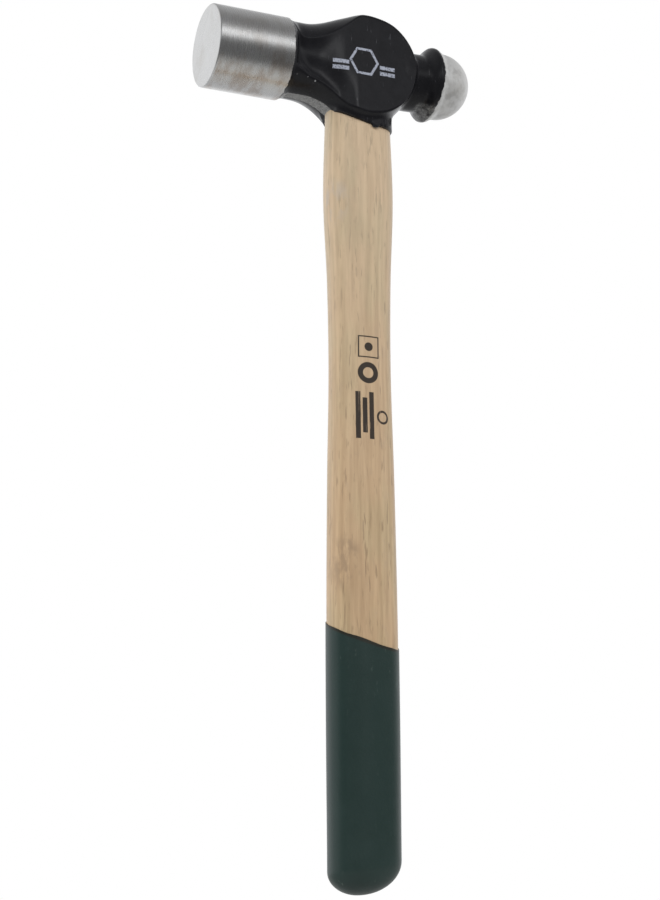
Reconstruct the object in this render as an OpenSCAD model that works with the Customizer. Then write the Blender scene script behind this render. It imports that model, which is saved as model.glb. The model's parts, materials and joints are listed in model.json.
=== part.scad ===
// Ball peen hammer: forged steel head wedged onto an oval wooden handle with a dipped grip.
// The handle stands on the XY plane, its axis is Z, and the head's axis lies along X.
// The striking face looks towards -X and the ball towards +X.

/* [Head] */
// Height of the head's axis above the butt of the handle
head_height = 355; // [320:1:420]
// Distance from the handle's axis to the striking face
face_reach = 70.6; // [64:0.1:80]
// Diameter of the poll, the cylinder behind the striking face
poll_d = 36; // [35:0.1:38]
// Length of the poll, from the striking face to its rear edge
poll_length = 34.2; // [28:0.1:36]
// Bevel around the striking face and around the poll's rear edge
poll_bevel = 0.8; // [0.3:0.1:1.5]
// Diameter of the waist between the poll and the eye
waist_d = 34; // [31:0.1:34.4]
// Distance from the handle's axis to the tip of the ball
ball_reach = 54.2; // [52:0.1:58]
// Radius of the ball's dome
ball_r = 15.2; // [14.6:0.1:15.8]
// Diameter of the neck between the eye and the ball
ball_neck_d = 26; // [22:0.1:28]

/* [Eye] */
// Diameter of the round cheeks either side of the eye
cheek_d = 45.4; // [43:0.1:47]
// Thickness of the head across its cheeks
cheek_width = 28.4; // [26:0.1:30]
// Rise of the crown between the two cheeks above their rims
crown_rise = 3.4; // [2.6:0.1:4]
// Depth of the hollow in each side between the poll and the cheek
scoop_depth = 1.6; // [0.5:0.1:2.5]
// Length of the eye along the head
eye_length = 27; // [24:0.1:28]
// Width of the eye across the head
eye_width = 17.4; // [15:0.1:18]
// Length of the collar under the eye, along the head
collar_length = 31.6; // [31:0.1:33]
// Width of the collar under the eye, across the head
collar_width = 24; // [22:0.1:25]

/* [Handle] */
// Width of the grip, measured along the head
grip_width = 30.1; // [28:0.1:32]
// Width of the slim throat between grip and swell
throat_width = 27; // [25:0.1:29]
// Width of the swell below the head
swell_width = 30.8; // [29:0.1:33]
// Thickness of the handle as a share of its width
oval_ratio = 0.75; // [0.7:0.01:0.82]
// Height of the rounded corner at the butt
butt_round = 8; // [5:0.5:10]
// Width of the flat spot at the butt
butt_flat = 12; // [8:0.5:14]

/* [Grip coat] */
// Thickness of the dipped coat
coat_t = 0.4; // [0.3:0.1:0.8]
// Height of the dip line at the handle's axis
dip_height = 104; // [90:1:130]
// Tilt of the dip line down towards the ball side, in degrees
dip_tilt_ball = 14.2; // [0:0.1:20]
// Tilt of the dip line down towards the -Y cheek, in degrees
dip_tilt_cheek = 19.4; // [0:0.1:22]

/* [Wedges] */
// Thickness of the wooden wedge at its top
wood_wedge_t = 4.4; // [3:0.1:5]
// Depth that the wooden wedge reaches below the head's axis
wood_wedge_depth = 14; // [8:1:18]
// Width of each steel wedge across the head
steel_wedge_w = 12; // [8:0.5:13]
// Thickness of each steel wedge at its top
steel_wedge_t = 2.6; // [1.8:0.1:3]
// Length of each steel wedge
steel_wedge_l = 20; // [14:1:24]
// Distance between the two steel wedges
steel_wedge_gap = 13; // [11:0.5:15]

/* [Hidden] */

$fn = 96;
fit_gap = 0.02;          // gap left between pieces that press on each other
oval_sides = 40;
oval_power = 0.9;
butt_rings = 6;
shaft_rings = 34;
coat_rings = 10;
past = 1;                // how far a cutting shape runs past what it cuts
cheek_drop = 1.5;        // the cheeks' centre lies this far below the head's axis
cheek_r = cheek_d / 2;
crown_r = cheek_r + crown_rise;
cheek_y = cheek_width / 2;
crown_bevel = 4.5;       // width of the bevel between a cheek's rim and the crown
poll_r = poll_d / 2;
poll_rear = -face_reach + poll_length;
waist_r = waist_d / 2;
waist_front = poll_rear + 1.6;
neck_r = ball_neck_d / 2;
dome_x = ball_reach - ball_r;
shoulder_r = ball_r + 1.5;
scoop_r = 17;            // radius of the cutter that hollows each side
scoop_x = -24;
seat_r = 36;             // radius of the collar's curved lower edge
seat_x = 7;              // the collar's lowest point lies this far towards the ball
seat_bottom = 28.8;      // and this far below the head's axis
wedge_top = crown_r - cheek_drop;
wedge_tip_t = 0.8;

// Smooth curve through the middle two of four values, at t from 0 to 1 between them.
function curve4(a, b, c, d, t) =
    b + t * ((c - a) / 2 + t * ((a - 2.5 * b + 2 * c - d / 2) + t * (1.5 * (b - c) + (d - a) / 2)));

// Half widths of the handle from the butt to the collar, at evenly spaced stations.
shaft_stations = [
    grip_width / 2 - 0.3,
    grip_width / 2 - 0.1,
    grip_width / 2,
    grip_width / 2,
    (5 * grip_width + throat_width) / 12,
    (grip_width + throat_width) / 4,
    throat_width / 2,
    (3 * throat_width + swell_width) / 8,
    swell_width / 2,
    collar_length / 2 - 1
];
shaft_top = head_height - seat_bottom - 1.5;
last_station = len(shaft_stations) - 1;
station_step = shaft_top / last_station;

function station(i) = shaft_stations[min(max(i, 0), last_station)];
function shaft_r(z) =
    let (s = min(max(z / station_step, 0), last_station - 0.001), i = floor(s))
    curve4(station(i - 1), station(i), station(i + 1), station(i + 2), s - i);

// Half width of the rounded butt at height z, from the flat spot out to the shaft.
function butt_r(z) =
    butt_flat / 2 + (shaft_r(butt_round) - butt_flat / 2) * sqrt(1 - pow(1 - z / butt_round, 2));
function wood_r(z) = z < butt_round ? butt_r(z) : shaft_r(z);

// Heights of the rings that the handle's skin is built on.
butt_heights = [for (i = [0 : butt_rings]) butt_round * (1 - cos(90 * i / butt_rings))];
shaft_heights = [for (i = [1 : shaft_rings]) butt_round + (shaft_top - butt_round) * i / shaft_rings];
coat_steps = [for (i = [1 : coat_rings]) i / coat_rings];

// A corner of the oval: power 1 is an ellipse, and a lower power has flatter sides.
function squared(v) = sign(v) * pow(abs(v), oval_power);
function oval_point(angle, r, grow) =
    [(r + grow) * squared(cos(angle)), (r * oval_ratio + grow) * squared(sin(angle))];
angles = [for (i = [0 : oval_sides - 1]) 360 * i / oval_sides];

function level_ring(z, r, grow, drop) =
    [for (a = angles) let (p = oval_point(a, r, grow)) [p.x, p.y, z + coat_t - drop]];

// The outline of the eye less a gap, at a share of its size.
function eye_point(angle, share) =
    let (
        r = eye_width / 2 - fit_gap,
        half = (eye_length - eye_width) / 2,
        c = abs(cos(angle)),
        s = abs(sin(angle)),
        reach = r * c <= half * s ? r / s : half * c + sqrt(r * r - pow(half * s, 2)))
    [share * reach * cos(angle), share * reach * sin(angle)];

// Heights of the collar's curved lower edge and of the crown, over a distance x along the head.
function seat_z(x) = head_height + seat_r - seat_bottom - sqrt(pow(seat_r + fit_gap, 2) - pow(x - seat_x, 2));
function crown_z(x) = head_height - cheek_drop + sqrt(pow(crown_r - 0.3, 2) - x * x);

seat_ring = [for (a = angles) let (p = oval_point(a, station(last_station), 0)) [p.x, p.y, seat_z(p.x)]];
tenon_foot = [for (a = angles) let (p = eye_point(a, 1)) [p.x, p.y, seat_z(p.x)]];
function tenon_top(share) = [for (a = angles) let (p = eye_point(a, share)) [p.x, p.y, crown_z(p.x)]];

// Height of the dip line over a point of the handle's outline.
function dip_z(p) = dip_height - p.x * tan(dip_tilt_ball) + p.y * tan(dip_tilt_cheek);

// A ring a given share of the way from the rounded butt up to the dip line.
function dipped_ring(share, grow) =
    [for (a = angles)
        let (
            rim = oval_point(a, shaft_r(dip_height), grow),
            z = butt_round + (dip_z(rim) - butt_round - coat_t) * share,
            p = oval_point(a, shaft_r(z), grow))
        [p.x, p.y, z + coat_t]];

function flat(lists) = [for (l = lists) each l];

// A closed skin over a stack of rings, the first and last of which are capped.
module skin(rings) {
    n = oval_sides;
    last = (len(rings) - 1) * n;
    sides = [for (k = [0 : len(rings) - 2], i = [0 : n - 1])
        [k * n + i, (k + 1) * n + i, (k + 1) * n + (i + 1) % n, k * n + (i + 1) % n]];
    bottom = [for (i = [0 : n - 1]) i];
    top = [for (i = [n - 1 : -1 : 0]) last + i];
    polyhedron(flat(rings), concat([bottom], sides, [top]));
}

// Turns children so that their Z axis points along +X.
module along_head() {
    rotate([0, 90, 0]) children();
}

// A disc with its axis across the head, centred on the cheeks.
module across_head(r, width) {
    translate([0, 0, -cheek_drop])
        rotate([90, 0, 0])
            cylinder(r = r, h = width, center = true);
}

// Oblong with round ends, as wide in Y as its ends are round.
module oblong(length, width) {
    straight = length - width;
    square([straight, width], center = true);
    for (side = [-1, 1])
        translate([side * straight / 2, 0])
            circle(d = width);
}

// The flare from the waist towards the eye: radius, and distance along the head.
flare = [
    [waist_r, -29],
    [waist_r + 0.6, -24.5],
    [waist_r + 1.9, -20],
    [waist_r + 3.6, -15]
];

// The poll, waist and flare, turned about the head's axis.
module turned_poll() {
    along_head()
        rotate_extrude()
            polygon(concat(
                [
                    [0, -face_reach],
                    [poll_r - poll_bevel, -face_reach],
                    [poll_r, -face_reach + poll_bevel],
                    [poll_r, poll_rear - poll_bevel],
                    [waist_r, waist_front - 0.8],
                    [waist_r - 0.2, waist_front + 1]
                ],
                flare,
                [[waist_r + 5.2, -9], [waist_r + 5.2, -2], [0, -2]]
            ));
}

// Takes off whatever stands out below the flare on the underside of the poll side.
module underside_relief() {
    difference() {
        translate([-2 * crown_r, -cheek_width, -2 * crown_r])
            cube([2 * crown_r, 2 * cheek_width, 2 * crown_r]);
        along_head()
            rotate_extrude()
                polygon(concat(
                    [[0, -2 * crown_r - past], [waist_r, -2 * crown_r - past]],
                    flare,
                    [
                        [waist_r + 5.2, -12.2],
                        [waist_r + 7.2, -9],
                        [waist_r + 9.6, -5],
                        [waist_r + 12.6, past],
                        [0, past]
                    ]
                ));
    }
}

// The neck, shoulder and dome of the ball end, turned about the head's axis.
module turned_ball() {
    shoulder_x = dome_x - 5;
    along_head()
        rotate_extrude()
            polygon(concat(
                [
                    [0, 2],
                    [neck_r + 1.4, 2],
                    [neck_r + 1.4, 19],
                    [neck_r + 0.3, 23],
                    [neck_r, 27],
                    [neck_r + 0.6, shoulder_x - 4.6],
                    [shoulder_r - 0.9, shoulder_x - 1.6],
                    [shoulder_r, shoulder_x],
                    [shoulder_r - 0.4, shoulder_x + 1.6]
                ],
                [for (a = [8:5:88]) [ball_r * cos(a), dome_x + ball_r * sin(a)]],
                [[0, ball_reach]]
            ));
}

// The round eye section: two flat cheeks with a bevelled crown between them.
module eye_section() {
    translate([0, 0, -cheek_drop])
        rotate([90, 0, 0])
            rotate_extrude()
                polygon([
                    [0, -cheek_y],
                    [cheek_r, -cheek_y],
                    [crown_r, -cheek_y + crown_bevel],
                    [crown_r, cheek_y - crown_bevel],
                    [cheek_r, cheek_y],
                    [0, cheek_y]
                ]);
}

// The eye section with its underside drawn in to meet the flare.
module relieved_eye_section() {
    difference() {
        eye_section();
        underside_relief();
    }
}

// The poll keeps its full width, and the flare behind it is as thin as the cheeks.
module trimmed_poll() {
    intersection() {
        turned_poll();
        union() {
            translate([-face_reach - past, -poll_d, -poll_d])
                cube([face_reach + past + scoop_x, 2 * poll_d, 2 * poll_d]);
            translate([-face_reach, -cheek_y, -poll_d])
                cube([face_reach, 2 * cheek_y, 2 * poll_d]);
        }
    }
}

// The collar under the eye, with a curved lower edge that the handle's shoulder matches.
module collar() {
    intersection() {
        translate([0, 0, -seat_bottom - past])
            linear_extrude(seat_bottom)
                oblong(collar_length, collar_width);
        translate([seat_x, 0, seat_r - seat_bottom])
            rotate([90, 0, 0])
                cylinder(r = seat_r, h = 2 * cheek_width, center = true);
    }
}

module head_forging() {
    difference() {
        union() {
            trimmed_poll();
            relieved_eye_section();
            collar();
            turned_ball();
        }
        for (side = [-1, 1])
            translate([scoop_x, side * (cheek_y - scoop_depth + scoop_r), 0])
                cylinder(r = scoop_r, h = 3 * poll_d, center = true);
        translate([0, 0, -seat_bottom - past])
            linear_extrude(2 * cheek_d)
                oblong(eye_length, eye_width);
    }
}

module head() {
    color("dimgray")
        translate([0, 0, head_height])
            head_forging();
}

// Wedge with its thick end up; width runs along X and thickness along Y.
module wedge(width, top_t, tip_t, top_z, length) {
    rotate([90, 0, 90])
        linear_extrude(width, center = true)
            polygon([
                [-top_t / 2, top_z],
                [top_t / 2, top_z],
                [tip_t / 2, top_z - length],
                [-tip_t / 2, top_z - length]
            ]);
}

module wood_wedge_shape(gap) {
    wedge(eye_length + 2 * past, wood_wedge_t + gap, wedge_tip_t + gap, wedge_top + past,
        wedge_top + wood_wedge_depth + past);
}

module steel_wedge_shape(side, gap) {
    translate([side * steel_wedge_gap / 2, 0, 0])
        rotate([0, 0, 90])
            wedge(steel_wedge_w + gap, steel_wedge_t + gap, 0.4 + gap, wedge_top + past,
                steel_wedge_l + past);
}

// The eye's filling, domed on top like the crown.
module tenon_block(gap) {
    intersection() {
        translate([0, 0, -seat_bottom])
            linear_extrude(2 * cheek_d)
                oblong(eye_length - gap, eye_width - gap);
        union() {
            across_head(crown_r - 0.3, 2 * eye_width);
            translate([0, 0, -seat_bottom])
                cube([2 * eye_length, 2 * eye_width, 2 * cheek_r], center = true);
        }
    }
}

module handle() {
    shaft = [for (z = concat(butt_heights, shaft_heights)) level_ring(z, wood_r(z), 0, 0)];
    tenon = [for (share = [1 : -0.24 : 0]) tenon_top(share)];
    color("burlywood")
        difference() {
            skin(concat(shaft, [seat_ring, tenon_foot], tenon));
            translate([0, 0, head_height]) {
                wood_wedge_shape(fit_gap);
                for (side = [-1, 1])
                    steel_wedge_shape(side, fit_gap);
            }
        }
}

module wooden_wedge() {
    color("wheat")
        translate([0, 0, head_height])
            difference() {
                intersection() {
                    tenon_block(2 * fit_gap);
                    wood_wedge_shape(0);
                }
                for (side = [-1, 1])
                    steel_wedge_shape(side, fit_gap);
            }
}

module steel_wedge(side) {
    color("slategray")
        translate([0, 0, head_height])
            intersection() {
                tenon_block(2 * fit_gap);
                steel_wedge_shape(side, 0);
            }
}

module steel_wedge_poll_side() {
    steel_wedge(-1);
}

module steel_wedge_ball_side() {
    steel_wedge(1);
}

// A thin skin over the grip and butt, ending at a tilted dip line.
module grip_coat() {
    outer_butt = [for (z = butt_heights) level_ring(z, wood_r(z), coat_t, coat_t * (1 - z / butt_round))];
    outer_grip = [for (share = coat_steps) dipped_ring(share, coat_t)];
    inner_grip = [for (i = [coat_rings - 1 : -1 : 0]) dipped_ring(coat_steps[i], fit_gap)];
    inner_butt = [for (i = [butt_rings : -1 : 0])
        level_ring(butt_heights[i], wood_r(butt_heights[i]), fit_gap, fit_gap * (1 - i / butt_rings))];
    color("darkslategray")
        skin(concat(outer_butt, outer_grip, inner_grip, inner_butt));
}

head();
handle();
wooden_wedge();
steel_wedge_poll_side();
steel_wedge_ball_side();
grip_coat();
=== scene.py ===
"""Looks of a ball peen hammer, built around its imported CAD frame.

Lengths are in millimetres until a mesh is made, and head shapes are measured from the head's axis.
"""

import json
import math

import bmesh
import bpy
import numpy as np
from mathutils import Matrix, Vector


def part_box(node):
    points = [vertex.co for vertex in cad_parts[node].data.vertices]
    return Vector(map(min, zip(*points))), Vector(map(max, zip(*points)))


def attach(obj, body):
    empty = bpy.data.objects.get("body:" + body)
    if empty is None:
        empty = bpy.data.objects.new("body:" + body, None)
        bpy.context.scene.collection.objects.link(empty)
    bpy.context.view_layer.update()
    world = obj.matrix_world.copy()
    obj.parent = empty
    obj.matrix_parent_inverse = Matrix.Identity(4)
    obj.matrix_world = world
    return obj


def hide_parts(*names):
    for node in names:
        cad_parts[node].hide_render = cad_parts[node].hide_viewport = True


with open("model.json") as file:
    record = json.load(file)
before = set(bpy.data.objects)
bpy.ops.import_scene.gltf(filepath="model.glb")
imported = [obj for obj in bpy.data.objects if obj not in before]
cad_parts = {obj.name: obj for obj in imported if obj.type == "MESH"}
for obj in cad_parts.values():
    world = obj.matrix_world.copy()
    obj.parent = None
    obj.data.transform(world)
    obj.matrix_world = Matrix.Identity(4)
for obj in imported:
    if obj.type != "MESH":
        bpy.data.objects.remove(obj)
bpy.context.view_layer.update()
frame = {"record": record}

MM = 0.001
MOUNTS = {mount["name"]: mount for mount in frame["record"]["mounts"]}

# Sizes that come from the frame.
HEAD_LOW, HEAD_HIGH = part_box("head")
HEAD_Z = MOUNTS["poll"]["pos_m"][2] / MM
FACE_X = HEAD_LOW.x / MM
BALL_TIP_X = HEAD_HIGH.x / MM
POLL_R = MOUNTS["poll"]["dims"]["r_mm"]

# The head.
POLL_REAR_X = -36.4
POLL_BEVEL = 0.8
WAIST_R = 16.6
WAIST_TOP = 17.2
CHEEK_DROP = 1.5
CHEEK_R = 22.7
CHEEK_Y = 14.2
CROWN_R = HEAD_HIGH.z / MM - HEAD_Z + CHEEK_DROP - 0.05
BALL_SIDE_CROWN_DROP = 1.9
UPPER_BULGE = 0.8
RIM_ROUND = 0.55
HOLLOW_DEPTH = 1.7
LOWER_TAPER = 2.4
NECK_R = 12.9
SHOULDER_R = 16.7
BALL_R = 14.75
BALL_RAISE = 0.35
DOME_X = BALL_TIP_X - BALL_R
COLLAR_STRAIGHT = 4.0
COLLAR_R = 12.0
SEAT_R = 36.0
SEAT_X = 7.0
SEAT_BOTTOM = 28.8
SEAT_CENTRE_Z = SEAT_R - SEAT_BOTTOM
SEAT_RISE = 1.6
DRIP_LENGTH = 1.3
EYE_LENGTH = 27.0
EYE_WIDTH = 17.4
STRIP_END_X = -13.0
LACQUER_IOR = 1.29

# Stretches along X over which a feature of the head comes in or fades out.
FLARE_IN = (-35.6, -32.2)
TAPER_IN = (-34, -26)
TAPER_OUT = (-14, -5)
HOLLOW_OUT = (-24, -11)
LOWER_ROUND_OUT = (-22, -12)
SEAT_RISE_OUT = (-15.5, -12.5)
DRIP_IN = (1.9, 2.6)
DRIP_OUT = (4.9, 5.6)
CROWN_DROP_IN = (2, 13)
BULGE_IN = (3, 14)
NECK_IN = (10, 20)
CREST_IN = (29.9, 34.7)
CREST_OUT = (35.0, 39.4)
BALL_RAISE_IN = (24, 36)

# The handle, its dipped coat and the wedges.
OVAL_RATIO = 0.75
OVAL_POWER = 0.88
# Half of the stick's longer width, along X, at heights above the butt.
HANDLE_STATIONS = [
    (16, 14.85),
    (70, 15.05),
    (120, 14.95),
    (170, 14.4),
    (222, 13.5),
    (256, 13.95),
    (296, 15.45),
    (332, 14.5),
]
HANDLE_SET = 0.4
BUTT_X = -3.0
BUTT_RISE = 11.5
BUTT_TILT = 2.5
DIP_Z = 104.0
DIP_SLOPE_X = -0.253
DIP_SLOPE_Y = 0.364
COAT_T = 0.4
FIT_GAP = 0.03
TENON_SINK = 0.5
WOOD_WEDGE_T = 4.4
WOOD_WEDGE_TIP_T = 0.8
WOOD_WEDGE_DEPTH = 14.0
STEEL_WEDGE_T = 2.6
STEEL_WEDGE_TIP_T = 0.4
STEEL_WEDGE_W = 12.0
STEEL_WEDGE_L = 20.0
STEEL_WEDGE_GAP = 13.0

# The stage, in metres and radians. The camera stands on the poll side, a little below
# the butt, and looks up.
FLOOR_Z = -0.012
FLOOR_HALF = 0.5
LENS = 76
CAMERA_PLACE = Vector((-0.3273, -0.7068, -0.0068))
CAMERA_YAW = math.radians(23.93)
CAMERA_PITCH = math.radians(13.7)
CAMERA_ROLL = math.radians(-0.34)
# Name, place, width and height, and power of each lamp.
LAMPS = [
    ("key_light", (-0.55, -1.0, 0.8), (0.7, 0.7), 9),
    ("side_light", (1.1, -0.6, 0.4), (0.5, 0.9), 7),
    ("rim_light", (-1.2, 0.25, 0.3), (0.5, 0.9), 6),
    ("back_light", (-0.3, 1.1, 0.6), (0.9, 0.6), 5),
]

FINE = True
HEAD_STEP = 0.3 if FINE else 0.8
HEAD_COLUMNS = 336 if FINE else 128
HANDLE_COLUMNS = 160 if FINE else 96


# ---------------------------------------------------------------- shape functions


def smooth_max(a, b, width):
    """The larger of a and b, rounded over where they are closer than width."""
    share = np.clip(0.5 + 0.5 * (a - b) / width, 0, 1)
    return b + (a - b) * share + width * share * (1 - share)


def smooth_min(a, b, width):
    return -smooth_max(-a, -b, width)


def ease(start, end, value):
    """0 before start, 1 after end, and smooth in between."""
    share = np.clip((value - start) / (end - start), 0, 1)
    return share * share * (3 - 2 * share)


def half_chord(radius, x):
    """Half the width of a circle at a distance x from its centre."""
    return np.sqrt(np.maximum(radius**2 - x**2, 0))


def rising(x, low, start, rise, span, power):
    """Level at low up to start, then up by rise over the span, ever more steeply."""
    return low + rise * (np.maximum(x - start, 0) / span) ** power


def curve_through(stations, at):
    """A smooth curve through (place, value) stations."""
    places = np.array([s[0] for s in stations], float)
    values = np.array([s[1] for s in stations], float)
    slopes = np.gradient(values, places)
    at = np.clip(at, places[0], places[-1])
    i = np.clip(np.searchsorted(places, at) - 1, 0, len(places) - 2)
    span = places[i + 1] - places[i]
    t = (at - places[i]) / span
    bend = values[i + 1] - values[i]
    start = slopes[i] * span - bend
    end = bend - slopes[i + 1] * span
    return values[i] + bend * t + t * (1 - t) * ((1 - t) * start + t * end)


# ---------------------------------------------------------------- the head's shape


def upper_ridge(x):
    """Height of the ridge between the side hollow and the top of the head."""
    flare = rising(x, low=5.2, start=-29, rise=15, span=24, power=1.6)
    curl = 6 * (np.maximum(-30 - x, 0) / 5) ** 2
    rim = half_chord(CHEEK_R, np.maximum(x, -12)) - CHEEK_DROP
    return smooth_min(flare, rim, 2) + curl


def lower_ridge(x):
    """Depth of the ridge between the side hollow and the underside."""
    flare = rising(x, low=9.3, start=-33, rise=12.6, span=24, power=2)
    rim = half_chord(CHEEK_R, np.maximum(x, -9)) + CHEEK_DROP
    return smooth_min(flare, rim, 2)


def top_height(x):
    """Height of the flare's top above the head's axis, midway between the cheeks."""
    share = np.clip((x + 28) / 28, 0, 1)
    top = CROWN_R - CHEEK_DROP
    return WAIST_TOP + (top - WAIST_TOP) * np.sin(share * math.pi / 2) ** 2


def bottom_depth(x):
    """Depth of the underside below the head's axis, midway between the cheeks."""
    flare = rising(x, low=WAIST_R, start=-31.5, rise=3.1, span=15, power=2.75)
    crown = half_chord(CROWN_R, np.maximum(x, -15)) + CHEEK_DROP
    return smooth_min(flare, crown, 2)


def arch(y, ridge, top):
    """Height at y of an arc that is level at y = 0 and comes down to the ridge at the cheeks."""
    rise = np.maximum(top - ridge, 0.1)
    radius = (CHEEK_Y**2 + rise**2) / (2 * rise)
    return top - radius + np.sqrt(np.maximum(radius**2 - y**2, 0))


def flared_section(x, y, z):
    """Below 0 inside the flare, which has a hollow in each side and ridges along it."""
    upper, lower = upper_ridge(x), lower_ridge(x)
    middle, half = (upper - lower) / 2, np.maximum((upper + lower) / 2, 1)
    hollow = HOLLOW_DEPTH * (1 - ease(*HOLLOW_OUT, x))
    taper = LOWER_TAPER * ease(*TAPER_IN, x) * (1 - ease(*TAPER_OUT, x))
    taper = taper * ease(0.1, 1.0, -z / lower)
    side = CHEEK_Y - taper - hollow * (1 - ((z - middle) / half) ** 2)
    above = z - arch(y, upper, top_height(x))
    below = -z - arch(y, lower, bottom_depth(x))
    lower_round = RIM_ROUND + 1.3 * (1 - ease(*LOWER_ROUND_OUT, x))
    body = smooth_max(np.abs(y) - side, above, RIM_ROUND)
    return smooth_max(body, below, lower_round)


def eye_drum(x, y, z):
    """Below 0 inside the round eye section, two flat cheeks with a crown between them."""
    low_side = 1 - ease(-12, 2, z)
    top = CROWN_R - BALL_SIDE_CROWN_DROP * ease(*CROWN_DROP_IN, x) * (0.3 + 0.7 * low_side)
    rise = top - CHEEK_R - UPPER_BULGE * ease(*BULGE_IN, x) * ease(-4, 6, z)
    arc = (CHEEK_Y**2 + rise**2) / (2 * rise)
    crown = top - arc + np.sqrt(np.maximum(arc**2 - y**2, 0))
    return smooth_max(np.abs(y) - CHEEK_Y, np.hypot(x, z + CHEEK_DROP) - crown, RIM_ROUND)


def seat_rise(x):
    """How much the collar's lower edge is raised towards the poll."""
    return SEAT_RISE * (1 - ease(*SEAT_RISE_OUT, x))


def collar_body(x, y, z):
    """Below 0 inside the collar under the eye, with a curved lower edge and a drip of lacquer."""
    outside = np.hypot(np.maximum(np.abs(x) - COLLAR_STRAIGHT, 0), y) - COLLAR_R
    drip = DRIP_LENGTH * ease(*DRIP_IN, x) * (1 - ease(*DRIP_OUT, x)) * ease(11.15, 11.35, -y)
    under = np.hypot(x - SEAT_X, np.minimum(z - SEAT_CENTRE_Z, 0)) - SEAT_R - drip + seat_rise(x)
    return smooth_max(smooth_max(outside, under, 0.5), z, 0.5)


def neck_radius(x):
    """Radius of the ball end: a flat neck, a steep shoulder with a narrow crest, and the dome."""
    neck = NECK_R - 4 * (1 - ease(*NECK_IN, x))
    rise = SHOULDER_R - NECK_R
    fall = SHOULDER_R - BALL_R
    body = neck + rise * ease(*CREST_IN, x) - fall * ease(*CREST_OUT, x)
    dome = half_chord(BALL_R, np.maximum(x - DOME_X, 0))
    return np.where(x > DOME_X, dome, body)


def head_field(x, y, z):
    """Below 0 inside the forging between the poll and the ball."""
    radius = np.hypot(y, z)
    behind_poll = WAIST_R + (POLL_R - WAIST_R) * np.exp(-(x - POLL_REAR_X) / 1.8)
    turned = radius - behind_poll
    share = ease(*FLARE_IN, x)
    flare = (1 - share) * turned + share * flared_section(x, y, z)
    body = np.where(x < 0, flare, eye_drum(x, y, z))
    body = smooth_min(body, radius - neck_radius(x), 2.2)
    body = smooth_min(body, collar_body(x, y, z), 1.8)
    trimmed = smooth_max(body, -z - bottom_depth(x) + 0.25, 0.15)
    return np.where((x < STRIP_END_X) & (x > -34), trimmed, body)


def close_in(inside, outside, field, rounds):
    """Halves the gap between values inside and outside a field, once a round."""
    for _ in range(rounds):
        middle = (inside + outside) / 2
        is_in = field(middle) < 0
        inside = np.where(is_in, middle, inside)
        outside = np.where(is_in, outside, middle)
    return inside, outside


def surface_radius(x, angles):
    """Distance from the head's axis to its surface, for a column of x and a row of angles."""
    places = np.repeat(x[:, None], len(angles), 1)
    across, up = -np.sin(angles)[None, :], np.cos(angles)[None, :]

    def field(radius):
        return head_field(places, radius * across, radius * up)

    near = np.full(places.shape, 6.0)
    far = np.full(places.shape, 48.0)
    inside, outside = close_in(near, far, field, 34)
    return (inside + outside) / 2


def head_rings():
    """Rings of points from the striking face to the tip of the ball."""
    angles = np.arange(HEAD_COLUMNS) * 2 * math.pi / HEAD_COLUMNS
    ones = np.ones(HEAD_COLUMNS)
    rings = []

    def turned(x, radius):
        rings.append((x * ones, radius * ones))

    flat_r = POLL_R - POLL_BEVEL
    for radius in (4, 8, 12, 15, flat_r - 0.5, flat_r - 0.08):
        turned(FACE_X, radius)
    for turn in np.radians(np.linspace(0, 90, 6)):
        turned(FACE_X + POLL_BEVEL * (1 - math.cos(turn)), flat_r + POLL_BEVEL * math.sin(turn))
    for x in np.linspace(FACE_X + POLL_BEVEL + 0.1, POLL_REAR_X - 0.2, 24):
        turned(x, POLL_R)
    body_end = 26.8
    body_x = np.arange(POLL_REAR_X, body_end, HEAD_STEP)
    # Rings stand closer at the collar's end and at the cheek's rim.
    collar_x = np.arange(14.4, 17.2, HEAD_STEP / 3)
    rim_x = np.arange(22.0, 24.4, HEAD_STEP / 2)
    body_x = np.unique(np.concatenate([body_x, collar_x, rim_x]).round(3))
    for x, radii in zip(body_x, surface_radius(body_x, angles)):
        rings.append((x * ones, radii))
    for x in np.arange(body_end + 0.4, DOME_X, 0.5):
        turned(x, float(neck_radius(np.array(x))))
    for turn in np.radians(np.linspace(1, 88, 44)):
        turned(DOME_X + BALL_R * math.sin(turn), BALL_R * math.cos(turn))
    x = np.array([ring[0] for ring in rings])
    radius = np.array([ring[1] for ring in rings])
    y = -radius * np.sin(angles)
    raised = BALL_RAISE * ease(*BALL_RAISE_IN, x)
    return np.stack([x, y, HEAD_Z + raised + radius * np.cos(angles)], -1)


# ---------------------------------------------------------------- mesh tools


def make_object(name, points, faces):
    """A mesh object from points in millimetres."""
    mesh = bpy.data.meshes.new(name)
    mesh.from_pydata((np.asarray(points) * MM).tolist(), [], faces)
    mesh.update()
    obj = bpy.data.objects.new(name, mesh)
    bpy.context.scene.collection.objects.link(obj)
    return obj


def skin(name, rings, first=None, last=None):
    """A closed skin over rings of equal length, each end closed by a point or by its own ring."""
    rows, columns = len(rings), len(rings[0])
    points = [np.asarray(rings).reshape(-1, 3)]
    faces = []
    for low in range(0, (rows - 1) * columns, columns):
        high = low + columns
        for i in range(columns):
            j = (i + 1) % columns
            faces.append((low + i, high + i, high + j, low + j))
    count = rows * columns
    for row, tip in ((0, first), (rows - 1, last)):
        if tip is not None:
            points.append(np.array([tip], float))
            for i in range(columns):
                j = (i + 1) % columns
                faces.append((row * columns + i, row * columns + j, count))
            count += 1
    obj = make_object(name, np.concatenate(points), faces)
    fix_normals(obj)
    return obj


def fix_normals(obj):
    work = bmesh.new()
    work.from_mesh(obj.data)
    bmesh.ops.recalc_face_normals(work, faces=work.faces)
    work.to_mesh(obj.data)
    work.free()


def volume(obj):
    work = bmesh.new()
    work.from_mesh(obj.data)
    result = work.calc_volume()
    work.free()
    return result


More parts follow.
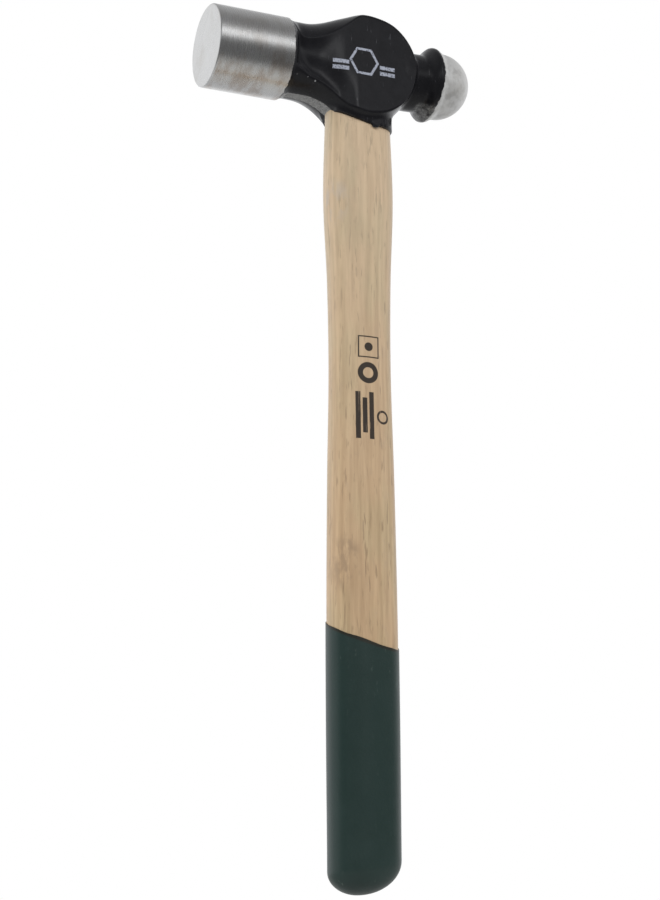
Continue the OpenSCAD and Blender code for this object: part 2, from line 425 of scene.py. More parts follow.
def apply(obj):
    """Makes the object's modifiers part of its mesh."""
    graph = bpy.context.evaluated_depsgraph_get()
    mesh = bpy.data.meshes.new_from_object(obj.evaluated_get(graph))
    obj.modifiers.clear()
    obj.data = mesh


def combine(obj, other, operation):
    """Cuts obj with other, or keeps what they share, then deletes other."""
    modifier = obj.modifiers.new("combine", "BOOLEAN")
    modifier.operation = operation
    modifier.solver = "EXACT"
    modifier.object = other
    apply(obj)
    bpy.data.objects.remove(other)


def cut(obj, cutter):
    """Takes the cutter's shape out of obj, and stops if that takes most of obj away."""
    before = volume(obj)
    combine(obj, cutter, "DIFFERENCE")
    if volume(obj) < before / 2:
        raise RuntimeError("cutting " + obj.name + " took away most of it")


def shade(obj, sharp_degrees=50):
    """Smooth shading, with edges sharper than the angle kept crisp."""
    work = bmesh.new()
    work.from_mesh(obj.data)
    for face in work.faces:
        face.smooth = True
    limit = math.radians(sharp_degrees)
    for edge in work.edges:
        edge.smooth = len(edge.link_faces) == 2 and edge.calc_face_angle(0) < limit
    work.to_mesh(obj.data)
    work.free()


def oblong_outline(length, width, count):
    """Points of an oblong with round ends, as rays from its centre at equal angles."""
    angles = np.arange(count) * 2 * math.pi / count
    c, s = np.abs(np.cos(angles)), np.abs(np.sin(angles))
    radius, half = width / 2, (length - width) / 2
    on_flat = radius * c <= half * s
    reach = np.where(
        on_flat,
        radius / np.maximum(s, 1e-6),
        half * c + np.sqrt(np.maximum(radius**2 - (half * s) ** 2, 0)),
    )
    return np.stack([reach * np.cos(angles), reach * np.sin(angles)], -1)


def finish_piece(obj, node, material, sharp_degrees=50):
    """Shades a piece, gives it its material and puts it in the place of its CAD node."""
    shade(obj, sharp_degrees)
    obj.data.materials.clear()
    obj.data.materials.append(material)
    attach(obj, "root")
    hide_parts(node)


# ---------------------------------------------------------------- node tools


class Nodes:
    """Builds one node tree. Values and sockets can be passed alike."""

    def __init__(self, owner):
        self.owner = owner
        owner.use_nodes = True
        self.tree = owner.node_tree

    def put(self, socket, value):
        if isinstance(value, bpy.types.NodeSocket):
            self.tree.links.new(value, socket)
        elif isinstance(value, tuple) and len(value) == 3 and socket.type == "RGBA":
            socket.default_value = (*value, 1.0)
        else:
            socket.default_value = value

    def add(self, kind, inputs, **settings):
        node = self.tree.nodes.new(kind)
        for key, value in settings.items():
            setattr(node, key, value)
        for key, value in inputs.items():
            self.put(node.inputs[key], value)
        return node

    def math(self, operation, a, b=0.0, c=0.0):
        return self.add("ShaderNodeMath", {0: a, 1: b, 2: c}, operation=operation).outputs[0]

    def chain(self, operation, values):
        """Applies the operation to the first two values, then to the result and the next one."""
        result = values[0]
        for value in values[1:]:
            result = self.math(operation, result, value)
        return result

    def plus(self, *values):
        return self.chain("ADD", values)

    def times(self, *values):
        return self.chain("MULTIPLY", values)

    def larger(self, *values):
        return self.chain("MAXIMUM", values)

    def minus(self, a, b):
        return self.math("SUBTRACT", a, b)

    def invert(self, value):
        """1 less the value."""
        return self.math("SUBTRACT", 1.0, value)

    def apart(self, a, b):
        """How far apart two values are."""
        return self.math("ABSOLUTE", self.math("SUBTRACT", a, b))

    def distance(self, a, b):
        """Length of a line that reaches a one way and b at right angles to it."""
        return self.math("SQRT", self.plus(self.times(a, a), self.times(b, b)))

    def step(self, value, start, end):
        """0 before start, 1 after end, and smooth in between."""
        inputs = {"Value": value, "From Min": start, "From Max": end}
        node = self.add("ShaderNodeMapRange", inputs, interpolation_type="SMOOTHSTEP")
        return node.outputs[0]

    def mix(self, share, low, high):
        return self.add("ShaderNodeMix", {0: share, 6: low, 7: high}, data_type="RGBA").outputs[2]

    def blend(self, share, low, high):
        return self.add("ShaderNodeMix", {0: share, 2: low, 3: high}, data_type="FLOAT").outputs[0]

    def place(self):
        """The point in millimetres, with its height measured from the head's axis."""
        source = self.add("ShaderNodeTexCoord", {}).outputs["Object"]
        scaled = self.stretch(source, (1 / MM,) * 3)
        lowered = {0: scaled, 1: (0, 0, -HEAD_Z)}
        return self.add("ShaderNodeVectorMath", lowered, operation="ADD").outputs[0]

    def split(self, vector):
        node = self.add("ShaderNodeSeparateXYZ", {0: vector})
        return node.outputs[0], node.outputs[1], node.outputs[2]

    def stretch(self, vector, factors):
        node = self.add("ShaderNodeVectorMath", {0: vector, 1: factors}, operation="MULTIPLY")
        return node.outputs[0]

    def noise(self, vector, scale, detail=3.0, rough=0.55):
        inputs = {"Vector": vector, "Scale": scale, "Detail": detail, "Roughness": rough}
        return self.add("ShaderNodeTexNoise", inputs).outputs[0]

    def bump(self, height, distance, strength=1.0, normal=None):
        inputs = {"Height": height, "Distance": distance * MM, "Strength": strength}
        if normal is not None:
            inputs["Normal"] = normal
        return self.add("ShaderNodeBump", inputs).outputs[0]

    def bar(self, u, v, centre, half, soft=0.12):
        """1 inside a rectangle of the u, v plane."""
        du = self.minus(self.apart(u, centre[0]), half[0])
        dv = self.minus(self.apart(v, centre[1]), half[1])
        return self.inside(self.larger(du, dv), soft)

    def inside(self, distance, soft=0.12):
        """1 where the distance is below 0."""
        return self.invert(self.step(distance, -soft, soft))

    def ring(self, u, v, centre, radius, half_line):
        """1 on a circular line of the u, v plane. With a radius of 0 it is a dot."""
        du = self.minus(u, centre[0])
        dv = self.minus(v, centre[1])
        line = self.apart(self.distance(du, dv), radius)
        return self.inside(self.minus(line, half_line))

    def any_of(self, masks):
        """1 where any of the masks is 1."""
        return self.chain("MAXIMUM", masks)

    def spot(self, u, v, centre, half):
        """1 in the middle of an ellipse of the u, v plane, fading to 0 at its outline."""
        du = self.math("DIVIDE", self.minus(u, centre[0]), half[0])
        dv = self.math("DIVIDE", self.minus(v, centre[1]), half[1])
        away = self.plus(self.times(du, du), self.times(dv, dv))
        return self.invert(self.step(away, 0.15, 1.0))

    def finish(self, **inputs):
        """Sets the inputs of the material's Principled shader."""
        shader = self.tree.nodes["Principled BSDF"]
        for key, value in inputs.items():
            self.put(shader.inputs[key.replace("_", " ")], value)
        return self.owner


def new_material(name):
    return Nodes(bpy.data.materials.new(name))


# ---------------------------------------------------------------- materials


def cheek_mark(g, x, y, z):
    """A plain hexagon outline with two bars on each side, on the -Y cheek."""
    du = g.math("ABSOLUTE", g.plus(x, 2.5))
    dv = g.math("ABSOLUTE", g.plus(z, 1.0))
    slant = g.plus(g.times(du, 0.866), g.times(dv, 0.5))
    away = g.apart(g.larger(slant, dv), 5.6)
    masks = [g.inside(g.minus(away, 0.55))]
    for centre_x, half in ((-13.4, 3.7), (8.6, 3.6)):
        for centre_z in (-2.6, -5.4):
            masks.append(g.bar(x, z, (centre_x, centre_z), (half, 0.85)))
    near_side = g.math("LESS_THAN", y, -10.0)
    return g.times(g.any_of(masks), near_side)


def bare_strip(g, place, x, y, z, rough_edge):
    """Where the lacquer is missing: a ragged strip under the flare, and thinly under the ball."""
    width = g.step(x, POLL_REAR_X, STRIP_END_X)
    strip_half = g.plus(2.2, g.times(width, 1.4))
    off_strip = g.minus(g.math("ABSOLUTE", y), strip_half)
    ragged = g.plus(off_strip, g.times(rough_edge, 1.6))
    strip = g.inside(ragged, 0.35)
    for limit in (
        g.math("LESS_THAN", z, -8.0),
        g.math("LESS_THAN", x, STRIP_END_X + 0.5),
        g.math("GREATER_THAN", x, POLL_REAR_X),
    ):
        strip = g.times(strip, limit)
    from_below = g.plus(z, g.times(g.math("ABSOLUTE", y), 0.45))
    under_ball = g.invert(g.step(from_below, -11.5, -8.0))
    under_ball = g.times(under_ball, g.step(x, 26.5, 29.0))
    under_ball = g.times(under_ball, g.step(g.noise(place, 0.35, 3.0), 0.2, 0.6))
    return g.larger(strip, g.times(under_ball, 0.65))


def steel_look(g, place, x, z, on_ball):
    """Colour, roughness and scratches of ground steel: brown-smeared poll, darker and browner
    towards the bottom; scuffed ball.
    """
    turning = g.noise(g.stretch(place, (1.0, 0.04, 0.04)), 2.6, 5.0, 0.7)
    scratches = g.noise(g.stretch(place, (1.0, 0.12, 0.12)), 7.0, 3.0)
    patches = g.noise(place, 0.09, 3.0)
    smears = g.noise(g.stretch(place, (1.0, 0.5, 0.5)), 0.16, 4.0)
    colour = g.mix(turning, (0.48, 0.478, 0.47), (0.68, 0.678, 0.67))
    colour = g.mix(g.step(patches, 0.45, 0.75), colour, (0.52, 0.51, 0.49))
    # Brown smears, five times as strong low down as on top, so the poll turns darker and browner
    # towards the bottom.
    low_side = g.invert(g.step(z, -12.0, 2.0))
    stain = g.times(g.step(smears, 0.4, 0.62), g.plus(0.2, g.times(low_side, 0.8)))
    behind_face = g.step(x, FACE_X + 0.5, FACE_X + 1.5)
    stain = g.times(stain, behind_face, g.blend(on_ball, 0.75, 0.0))
    colour = g.mix(stain, colour, (0.4, 0.35, 0.31))
    scuffs = g.times(g.step(g.noise(place, 0.28, 5.0, 0.65), 0.42, 0.62), on_ball)
    colour = g.mix(g.times(scuffs, 0.5), colour, (0.36, 0.355, 0.34))
    rough = g.plus(g.times(turning, 0.16), g.blend(on_ball, 0.2, 0.36))
    return colour, g.minus(rough, g.times(scuffs, 0.1)), scratches


def lacquer_look(g, place):
    """Colour and roughness of faintly mottled black lacquer with dust and hairs on it."""
    mottle = g.noise(place, 0.22, 4.0)
    colour = g.mix(mottle, (0.005, 0.005, 0.006), (0.011, 0.011, 0.013))
    dust = g.step(g.noise(place, 2.4, 2.0), 0.74, 0.8)
    hairs = g.step(g.noise(g.stretch(place, (1.0, 1.0, 0.12)), 1.6, 2.0), 0.7, 0.76)
    specks = g.times(g.larger(dust, hairs), 0.25)
    colour = g.mix(specks, colour, (0.16, 0.16, 0.18))
    return colour, g.plus(g.times(mottle, 0.14), 0.16)


def edge_wear_and_highlight(g, place):
    """1 in broken patches along the sharpest edges: lacquer worn pale there, and a painted
    highlight along the ridges.
    """
    sharp = g.step(g.add("ShaderNodeNewGeometry", {}).outputs["Pointiness"], 0.56, 0.66)
    return g.times(sharp, g.step(g.noise(place, 0.8, 3.0), 0.36, 0.6))


def head_material():
    """Ground steel on the poll and dome, black lacquer between, bare strip on the underside."""
    g = new_material("head_steel_and_lacquer")
    place = g.place()
    x, y, z = g.split(place)
    rough_edge = g.minus(g.noise(place, 0.45, 5.0, 0.65), 0.5)
    drift = g.times(rough_edge, 2.2)
    poll = g.invert(g.step(g.plus(x, drift), POLL_REAR_X - 0.25, POLL_REAR_X + 0.15))
    curve = g.times(g.math("ABSOLUTE", z), 0.11)
    ball = g.step(g.plus(x, drift, curve), 36.4, 36.8)
    steel = g.larger(poll, ball)
    on_ball = g.step(x, 30.0, 34.0)
    steel_colour, steel_rough, scratches = steel_look(g, place, x, z, on_ball)
    lacquer_colour, lacquer_rough = lacquer_look(g, place)
    strip = bare_strip(g, place, x, y, z, rough_edge)
    speckle = g.noise(place, 1.7, 5.0, 0.7)
    strip_colour = g.mix(g.step(speckle, 0.35, 0.7), (0.12, 0.12, 0.12), (0.42, 0.42, 0.41))
    print_cover = g.times(cheek_mark(g, x, y, z), g.step(g.noise(place, 1.5, 3.0), 0.3, 0.5))

    colour = g.mix(print_cover, lacquer_colour, (0.3, 0.32, 0.38))
    colour = g.mix(strip, colour, strip_colour)
    colour = g.mix(steel, colour, steel_colour)
    # Pale grey on the sharp lacquer edges: partly wear, partly a painted highlight along the
    # ridges.
    wear_and_highlight = g.times(edge_wear_and_highlight(g, place), g.invert(steel))
    colour = g.mix(g.times(wear_and_highlight, 0.8), colour, (0.34, 0.34, 0.35))
    steel_metal = g.blend(on_ball, 1.0, 0.55)
    rough = g.blend(steel, g.blend(strip, lacquer_rough, 0.45), steel_rough)
    height = g.blend(steel, g.times(g.noise(place, 0.6, 2.0), 2.0), scratches)
    height = g.blend(strip, height, g.times(speckle, 4.0))
    return g.finish(
        Base_Color=colour,
        Metallic=g.larger(g.times(steel, steel_metal), g.times(strip, 0.7)),
        Roughness=g.blend(print_cover, rough, 0.5),
        Normal=g.bump(height, 0.02),
        IOR=LACQUER_IOR,
    )


def handle_mark(g, x, y, z):
    """A framed dot, a thick ring, three upright bars and a small ring, on the -Y side."""
    frame_z = 225.6 - HEAD_Z
    du = g.math("ABSOLUTE", x)
    dv = g.apart(z, frame_z)
    line = g.apart(g.larger(du, dv), 4.5)
    masks = [
        g.inside(g.minus(line, 0.28)),
        g.ring(x, z, (0.0, frame_z), 0.0, 1.9),
        g.ring(x, z, (-0.3, 214.2 - HEAD_Z), 3.5, 1.15),
        g.ring(x, z, (6.4, 195.4 - HEAD_Z), 2.5, 0.5),
    ]
    for bar_x, half in ((-5.0, 10.2), (-2.0, 7.6), (1.0, 10.2)):
        masks.append(g.bar(x, z, (bar_x, 195.6 - HEAD_Z), (1.05, half)))
    near_side = g.math("LESS_THAN", y, 0.0)
    return g.times(g.any_of(masks), near_side)


def wood_colour(g, place, dark, pale):
    """Growth rings about a centre outside the stick, with pores drawn out along the grain."""
    x, y, _ = g.split(place)
    sway = g.noise(g.stretch(place, (0.05, 0.05, 0.008)), 1.0, 2.0)
    bend = g.times(g.minus(sway, 0.5), 9.0)
    across = g.plus(x, 31.0, bend)
    away = g.plus(y, 70.0)
    ring = g.distance(across, away)
    bands = g.plus(g.times(g.math("SINE", g.times(ring, 2.9)), 0.5), 0.5)
    streaks = g.noise(g.stretch(place, (1.0, 1.0, 0.06)), 0.75, 4.0, 0.55)
    tone = g.plus(g.times(bands, 0.16), g.times(streaks, 0.95))
    colour = g.mix(g.step(tone, 0.22, 0.92), dark, pale)
    broad = g.step(g.noise(g.stretch(place, (1.0, 1.0, 0.3)), 0.07, 3.0), 0.4, 0.64)
    warm = tuple(c * s for c, s in zip(pale, (0.96, 0.86, 0.82)))
    cool = tuple(c * s for c, s in zip(pale, (0.8, 0.84, 0.78)))
    colour = g.mix(0.42, colour, g.mix(broad, warm, cool))
    pores = g.step(g.noise(g.stretch(place, (1.0, 1.0, 0.12)), 0.95, 2.0, 0.5), 0.58, 0.72)
    pores = g.times(pores, g.plus(g.times(bands, 0.4), 0.6))
    return g.mix(g.times(pores, 0.6), colour, tuple(c * 0.6 for c in dark)), pores, streaks


def handle_material():
    g = new_material("handle_ash")
    place = g.place()
    x, y, z = g.split(place)
    colour, pores, streaks = wood_colour(g, place, (0.265, 0.182, 0.102), (0.535, 0.4, 0.25))
    near_side = g.math("LESS_THAN", y, 0.0)
    blot = g.noise(g.stretch(place, (0.16, 0.16, 0.07)), 1.6, 4.0)
    for centre, half, strength, tint in (
        ((-10.0, 133.0), (6.0, 14.0), 0.8, (0.27, 0.19, 0.12)),
        ((-13.5, 290.0), (6.0, 12.0), 0.5, (0.33, 0.29, 0.27)),
    ):
        stain = g.spot(x, z, (centre[0], centre[1] - HEAD_Z), half)
        stain = g.times(stain, near_side, g.step(blot, 0.4, 0.58))
        colour = g.mix(g.times(stain, strength), colour, tint)
    # Painted light and shade: the wood is made lighter towards the head and darker towards the
    # dip.
    painted_light_near_head = g.step(z, -230.0, -20.0)
    colour = g.mix(g.times(painted_light_near_head, 0.3), colour, (0.55, 0.48, 0.37))
    painted_shade_near_dip = g.invert(painted_light_near_head)
    colour = g.mix(g.times(painted_shade_near_dip, 0.16), colour, (0.36, 0.23, 0.12))
    grime = g.times(g.step(blot, 0.56, 0.74), 0.25)
    colour = g.mix(grime, colour, (0.34, 0.26, 0.18))
    ink = g.times(handle_mark(g, x, y, z), g.step(streaks, 0.24, 0.36))
    colour = g.mix(g.times(ink, 0.96), colour, (0.014, 0.011, 0.01))
    rough = g.plus(0.42, g.times(streaks, 0.2))
    height = g.minus(g.times(streaks, 1.0), pores)
    return g.finish(
        Base_Color=colour,
        Roughness=rough,
        Normal=g.bump(height, 0.06),
        IOR=1.4,
        Coat_Weight=g.blend(ink, 0.3, 0.03),
        Coat_Roughness=0.28,
    )


def wedge_wood_material():
    g = new_material("wedge_hardwood")
    place = g.place()
    colour, pores, streaks = wood_colour(g, place, (0.3, 0.19, 0.1), (0.5, 0.35, 0.2))
    saw = g.noise(g.stretch(place, (0.1, 2.0, 0.3)), 2.0, 3.0)
    height = g.plus(saw, g.times(streaks, 0.6))
    rough = g.plus(0.55, g.times(pores, 0.25))
    return g.finish(Base_Color=colour, Roughness=rough, Normal=g.bump(height, 0.08))


def wedge_steel_material():
    g = new_material("wedge_dark_steel")
    place = g.place()
    mottle = g.noise(place, 0.7, 5.0)
    dents = g.noise(place, 0.5, 1.0)
    rust = g.step(g.noise(place, 0.4, 4.0), 0.58, 0.7)
    colour = g.mix(mottle, (0.16, 0.16, 0.165), (0.4, 0.4, 0.41))
    colour = g.mix(g.times(rust, 0.5), colour, (0.2, 0.09, 0.045))
    return g.finish(
        Base_Color=colour,
        Metallic=g.invert(g.times(rust, 0.6)),
        Roughness=g.plus(0.34, g.times(mottle, 0.25)),
        Normal=g.bump(dents, 0.12),
    )


def coat_material():
    """Dark green dip: satin, slightly dimpled, scuffed near its top edge and at the butt, with
    painted shade in a thin band just under that edge.
    """
    g = new_material("grip_dip_green")
    place = g.place()
    x, y, z = g.split(place)
    cloud = g.noise(place, 0.08, 4.0)
    dimple = g.noise(place, 0.9, 2.0)
    colour = g.mix(cloud, (0.007, 0.02, 0.017), (0.014, 0.03, 0.027))
    scuffs = g.step(g.noise(g.stretch(place, (1.0, 1.0, 0.3)), 0.5, 5.0, 0.7), 0.6, 0.75)
    dip_line = g.plus(g.times(x, DIP_SLOPE_X), g.times(y, DIP_SLOPE_Y))
    below_edge = g.minus(g.plus(dip_line, DIP_Z - HEAD_Z), z)
    near_top = g.invert(g.step(below_edge, 4.0, 26.0))
    near_butt = g.invert(g.step(z, 2.0 - HEAD_Z, 12.0 - HEAD_Z))
    worn = g.times(scuffs, g.plus(0.15, g.larger(near_top, near_butt)))
    colour = g.mix(g.times(worn, 0.3), colour, (0.16, 0.2, 0.18))
    # Painted shade: a near-black band on the coat just under its top edge.
    edge = g.invert(g.step(below_edge, 0.5, 1.4))
    colour = g.mix(g.times(edge, 0.9), colour, (0.012, 0.011, 0.006))
    rough = g.plus(g.times(cloud, 0.14), g.plus(0.3, g.times(worn, 0.2)))
    height = g.plus(dimple, g.times(scuffs, 0.3))
    return g.finish(Base_Color=colour, Roughness=rough, Normal=g.bump(height, 0.04), IOR=1.4)


def floor_material():
    """Pale floor that fades into the white backdrop some way from the object."""
    g = new_material("pale_floor")
    source = g.add("ShaderNodeTexCoord", {}).outputs["Object"]
    grain = g.noise(source, 9.0, 4.0)
    colour = g.mix(grain, (0.62, 0.62, 0.61), (0.68, 0.68, 0.67))
    away = g.add("ShaderNodeVectorMath", {0: source}, operation="LENGTH").outputs["Value"]
    alpha = g.invert(g.step(away, 0.1, 0.45))
    return g.finish(Base_Color=colour, Roughness=0.75, Normal=g.bump(grain, 0.2), Alpha=alpha)


# ---------------------------------------------------------------- pieces


def prism(name, outline, low_z, high_z):
    """A straight block with the same outline from bottom to top."""
    rings = [np.column_stack([outline, np.full(len(outline), z)]) for z in (low_z, high_z)]
    return skin(name, rings, (0, 0, low_z), (0, 0, high_z))


def build_head():
    rings = head_rings()
    tip = (BALL_TIP_X, 0, HEAD_Z + BALL_RAISE)
    head = skin("head_forging", rings, (FACE_X, 0, HEAD_Z), tip)
    eye = prism("eye_cutter", oblong_outline(EYE_LENGTH, EYE_WIDTH, 120), HEAD_Z - 60, HEAD_Z + 60)
    cut(head, eye)
    finish_piece(head, "head", head_material())
    return head


def squared(v):
    """Makes the cosine or sine of a round outline into that of a slightly squarer one."""
    return np.sign(v) * np.abs(v) ** OVAL_POWER


def oval_ring(height, angles, grow):
    """Outline of the handle at a height. The stick sits a little towards the ball."""
    half_length = curve_through(HANDLE_STATIONS, height)
    x = (half_length + grow) * squared(np.cos(angles)) + HANDLE_SET
    y = (half_length * OVAL_RATIO + grow) * squared(np.sin(angles))
    return x, y


def butt_rings(angles, grow, low_z, count):
    """The rounded butt, tighter on the poll side than on the ball side."""
    rise = BUTT_RISE + BUTT_TILT * np.cos(angles)
    rim_x, rim_y = oval_ring(rise, angles, grow)
    rings = []
    for turn in np.linspace(0, math.pi / 2, count)[1:]:
        x = BUTT_X + (rim_x - BUTT_X) * math.sin(turn)
        z = low_z + (rise - low_z) * (1 - math.cos(turn))
        rings.append(np.column_stack([x, rim_y * math.sin(turn), z]))
    return rings


def shaft_ring(heights, angles, grow):
    x, y = oval_ring(heights, angles, grow)
    return np.column_stack([x, y, heights])


def seat_height(x):
    """Height of the wood's shoulder, just under the collar's curved lower edge."""
    reach = SEAT_R + FIT_GAP - seat_rise(x)
    return HEAD_Z + SEAT_CENTRE_Z - np.sqrt(reach**2 - (x - SEAT_X) ** 2)


def crown_height(x, y):
    """Top of the wood in the eye, a little below the top of the head around it."""

    def field(height):
        return head_field(x, y, height)

    inside, _ = close_in(np.full(x.shape, 5.0), np.full(x.shape, 40.0), field, 30)
    return HEAD_Z + inside - TENON_SINK


def wedge_shape(name, half_width, top_t, tip_t, top_z, length, turned):
    """Tapered block with its thick end up. Its width runs along X, or along Y when turned."""
    ring_data = ((top_z - length, tip_t), (top_z, top_t))
    rings = []
    for z, thickness in ring_data:
        corners = [(-half_width, -thickness / 2), (half_width, -thickness / 2)]
        corners += [(half_width, thickness / 2), (-half_width, thickness / 2)]
        if turned:
            corners = [(v, u) for u, v in corners]
        rings.append(np.array([(u, v, z) for u, v in corners]))
    return skin(name, rings, (0, 0, top_z - length), (0, 0, top_z))


def wood_wedge_cutter(gap):
    top = HEAD_Z + CROWN_R - CHEEK_DROP + 2
    length = top - HEAD_Z + WOOD_WEDGE_DEPTH
    top_t, tip_t = WOOD_WEDGE_T + gap, WOOD_WEDGE_TIP_T + gap
    return wedge_shape("wood_wedge_cutter", EYE_LENGTH, top_t, tip_t, top, length, False)


def steel_wedge_cutter(side, gap):
    top = HEAD_Z + CROWN_R - CHEEK_DROP + 2
    half_width = (STEEL_WEDGE_W + gap) / 2
    top_t, tip_t = STEEL_WEDGE_T + gap, STEEL_WEDGE_TIP_T + gap
    cutter = wedge_shape("steel_wedge_cutter", half_width, top_t, tip_t, top, STEEL_WEDGE_L, True)
    cutter.data.transform(Matrix.Translation((side * STEEL_WEDGE_GAP / 2 * MM, 0, 0)))
    return cutter


def copy_of(obj):
    twin = obj.copy()
    twin.data = obj.data.copy()
    bpy.context.scene.collection.objects.link(twin)
    return twin


def crown_tip(sink=0.0):
    """The middle of the domed top of what fills the eye."""
    return (0, 0, float(crown_height(np.array(0.0), np.array(0.0))) - sink)


def build_handle(head):
    """The stick with its tenon, fitted to the head wherever the head reaches below the seat."""
    angles = np.arange(HANDLE_COLUMNS) * 2 * math.pi / HANDLE_COLUMNS
    rings = butt_rings(angles, 0.0, COAT_T + FIT_GAP, 12)
    foot = rings[-1][:, 2]
    rim_x, _ = oval_ring(HEAD_Z - SEAT_BOTTOM, angles, 0.0)
    top = seat_height(rim_x)
    for share in np.linspace(0, 1, 150)[1:]:
        rings.append(shaft_ring(foot + (top - foot) * share, angles, 0.0))
    tenon = oblong_outline(EYE_LENGTH - 2 * FIT_GAP, EYE_WIDTH - 2 * FIT_GAP, HANDLE_COLUMNS)
    rim = rings[-1][:, :2]
    for share in (0.2, 0.4, 0.6, 0.8, 1.0):
        seat = rim * (1 - share) + tenon * share
        rings.append(np.column_stack([seat, seat_height(seat[:, 0])]))
    ledge = rings[-1]
    end_z = crown_height(tenon[:, 0], tenon[:, 1])
    for share in np.linspace(0, 1, 12)[1:]:
        rings.append(np.column_stack([tenon, ledge[:, 2] * (1 - share) + end_z * share]))
    for share in (0.97, 0.8, 0.6, 0.4, 0.2):
        inner = tenon * share
        rings.append(np.column_stack([inner, crown_height(inner[:, 0], inner[:, 1])]))
    handle = skin("handle_stick", rings, (BUTT_X, 0, COAT_T + FIT_GAP), crown_tip())
    cut(handle, copy_of(head))
    for side in (-1, 1):
        cut(handle, steel_wedge_cutter(side, 2 * FIT_GAP))
    cut(handle, wood_wedge_cutter(2 * FIT_GAP))
    finish_piece(handle, "handle", handle_material())
    return handle


def build_coat():
    """A thin closed shell that follows the butt and grip up to a slanted dip line."""
    angles = np.arange(HANDLE_COLUMNS) * 2 * math.pi / HANDLE_COLUMNS
    edge_x, edge_y = oval_ring(DIP_Z, angles, COAT_T)
    waves = 0.22 * np.sin(3 * angles + 0.7) + 0.14 * np.sin(7 * angles + 2.1)
    dip_line = DIP_Z + DIP_SLOPE_X * edge_x + DIP_SLOPE_Y * edge_y + waves

    def wall(grow, low_z, shares):
        rings = butt_rings(angles, grow, low_z, 22)
        foot = rings[-1][:, 2]
        for share in shares:
            rings.append(shaft_ring(foot + (dip_line - foot) * share, angles, grow))
        return rings

    outer = wall(COAT_T, 0.0, np.linspace(0, 1, 60)[1:])
    inner = wall(FIT_GAP, COAT_T, np.linspace(0, 1, 60)[1:])
    lip = []
    for turn in np.radians([25, 50, 75, 100, 130]):
        grow = COAT_T / 2 + COAT_T / 2 * math.cos(turn)
        lip.append(shaft_ring(dip_line + 0.35 * math.sin(turn), angles, grow))
    rings = outer + lip + inner[::-1]
    coat = skin("dipped_grip_coat", rings, (BUTT_X, 0, 0.0), (BUTT_X, 0, COAT_T))
    finish_piece(coat, "grip_coat", coat_material(), 75)


def domed_block(name, outline, low_z, sink):
    """The filling of the eye under a domed top, a little below the wood around it."""
    rings = [np.column_stack([outline, np.full(len(outline), low_z)])]
    for share in (1.0, 0.75, 0.5, 0.25):
        inner = outline * share
        rings.append(np.column_stack([inner, crown_height(inner[:, 0], inner[:, 1]) - sink]))
    return skin(name, rings, (0, 0, low_z), crown_tip(sink))


def soften(obj, width):
    """A small rounded bevel on every sharp edge."""
    modifier = obj.modifiers.new("soften", "BEVEL")
    modifier.width = width * MM
    modifier.segments = 2
    modifier.limit_method = "ANGLE"
    modifier.angle_limit = math.radians(35)
    apply(obj)


def build_wedges():
    outline = oblong_outline(EYE_LENGTH - 4 * FIT_GAP, EYE_WIDTH - 4 * FIT_GAP, 96)
    wood = domed_block("hardwood_wedge", outline, HEAD_Z - SEAT_BOTTOM, 0.15)
    combine(wood, wood_wedge_cutter(0.0), "INTERSECT")
    for side in (-1, 1):
        combine(wood, steel_wedge_cutter(side, 2 * FIT_GAP), "DIFFERENCE")
    finish_piece(wood, "wooden_wedge", wedge_wood_material(), 40)
    steel = wedge_steel_material()
    for side, node in ((-1, "steel_wedge_poll_side"), (1, "steel_wedge_ball_side")):
        wedge = domed_block("iron_" + node, outline, HEAD_Z - SEAT_BOTTOM, 0.05)
        combine(wedge, steel_wedge_cutter(side, 0.0), "INTERSECT")
        soften(wedge, 0.15)
        finish_piece(wedge, node, steel, 40)


# ---------------------------------------------------------------- stage


def build_floor():
    signs = [(-1, -1), (1, -1), (1, 1), (-1, 1)]
    points = np.array([(x * FLOOR_HALF, y * FLOOR_HALF, 0) for x, y in signs]) / MM
    floor = make_object("studio_floor", points, [(0, 1, 2, 3)])
    floor.location.z = FLOOR_Z
    floor.data.materials.append(floor_material())


def soft_box(name, place, size, power):
    """Area light aimed at the middle of the hammer. Shiny surfaces don't mirror it."""
    lamp = bpy.data.lights.new(name, "AREA")
    lamp.shape = "RECTANGLE"
    lamp.size, lamp.size_y = size
    lamp.energy = power
    obj = bpy.data.objects.new(name, lamp)
    obj.location = place
    direction = Vector((0, 0, HEAD_Z * MM / 2)) - Vector(place)
    obj.rotation_euler = direction.to_track_quat("-Z", "Y").to_euler()
    obj.visible_glossy = False
    bpy.context.scene.collection.objects.link(obj)


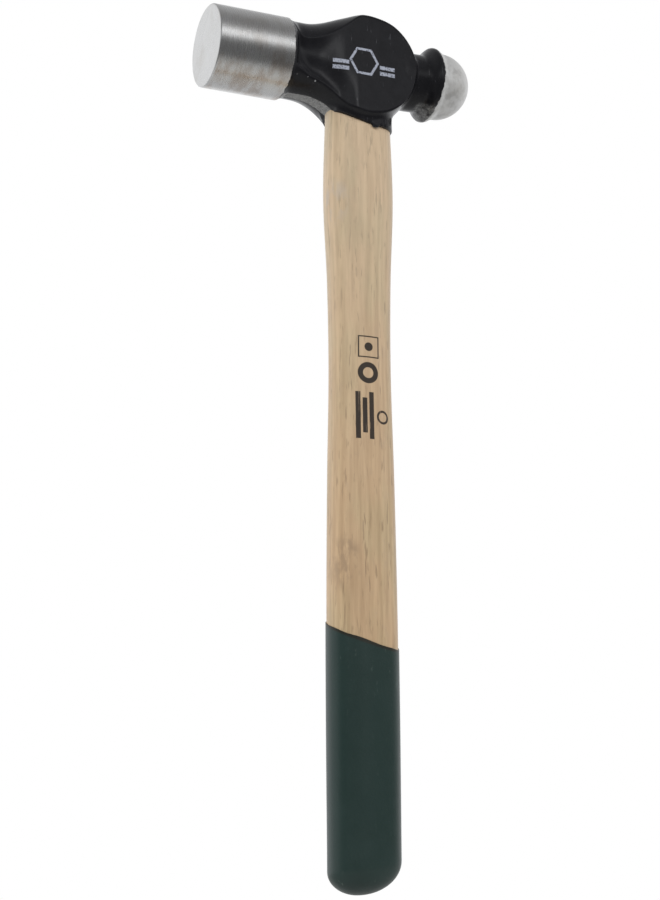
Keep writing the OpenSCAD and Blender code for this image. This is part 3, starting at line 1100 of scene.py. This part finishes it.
def build_world():
    """White to the camera, even light to rough surfaces, and a studio for shiny ones to mirror.

    The studio is bright behind the object, dim overhead and in front, with a long soft
    window in front and above, brightest in its middle.
    """
    g = Nodes(bpy.data.worlds.new("studio"))
    bpy.context.scene.world = g.owner
    g.tree.nodes.clear()
    direction = g.add("ShaderNodeTexCoord", {}).outputs["Generated"]
    side, depth, up = g.split(direction)
    front = g.times(depth, -1.0)

    def hill(value, centre, width):
        off = g.math("DIVIDE", g.minus(value, centre), width)
        return g.math("EXPONENT", g.times(off, off, -1.0))

    front_level = g.blend(g.step(up, 0.35, 0.75), 0.15, 0.28)
    back_level = g.minus(1.08, g.times(g.step(up, 0.46, 0.92), 0.57))
    back_level = g.minus(back_level, g.times(g.step(up, 0.0, -0.4), 0.45))
    level = g.blend(g.step(front, -0.3, 0.45), back_level, front_level)
    window = g.times(hill(up, 0.29, 0.15), g.step(front, 0.25, 0.7))
    level = g.plus(level, g.times(window, 0.85))
    lamp = g.times(hill(side, 0.16, 0.11), hill(up, 0.42, 0.16), g.step(front, 0.25, 0.7))
    level = g.plus(level, g.times(lamp, 3.2))
    rays = g.add("ShaderNodeLightPath", {}).outputs

    def glow(colour, strength):
        return g.add("ShaderNodeBackground", {"Color": colour, "Strength": strength}).outputs[0]

    def seen_by(ray, otherwise, shader):
        return g.add("ShaderNodeMixShader", {0: rays[ray], 1: otherwise, 2: shader}).outputs[0]

    mirrored = glow((0.97, 0.98, 1.0), level)
    even = glow((1.0, 1.0, 1.0), 0.5)
    white = glow((1.0, 1.0, 1.0), 1.0)
    backdrop = seen_by("Is Diffuse Ray", mirrored, even)
    backdrop = seen_by("Is Camera Ray", backdrop, white)
    g.add("ShaderNodeOutputWorld", {0: backdrop})


def camera_turn():
    """The camera's rotation from its yaw, pitch and roll."""
    forward = Vector(
        (
            math.sin(CAMERA_YAW) * math.cos(CAMERA_PITCH),
            math.cos(CAMERA_YAW) * math.cos(CAMERA_PITCH),
            math.sin(CAMERA_PITCH),
        )
    )
    level_right = Vector((math.cos(CAMERA_YAW), -math.sin(CAMERA_YAW), 0))
    level_up = level_right.cross(forward)
    right = level_right * math.cos(CAMERA_ROLL) + level_up * math.sin(CAMERA_ROLL)
    return Matrix((right, right.cross(forward), -forward)).transposed()


def build_camera():
    data = bpy.data.cameras.new("camera")
    data.lens = LENS
    data.sensor_width = 36
    data.clip_start = 0.01
    camera = bpy.data.objects.new("camera", data)
    camera.matrix_world = Matrix.Translation(CAMERA_PLACE) @ camera_turn().to_4x4()
    bpy.context.scene.collection.objects.link(camera)
    bpy.context.scene.camera = camera


build_handle(build_head())
build_coat()
build_wedges()
build_floor()
build_world()
build_camera()
for lamp in LAMPS:
    soft_box(*lamp)
bpy.context.scene.view_settings.view_transform = "Standard"
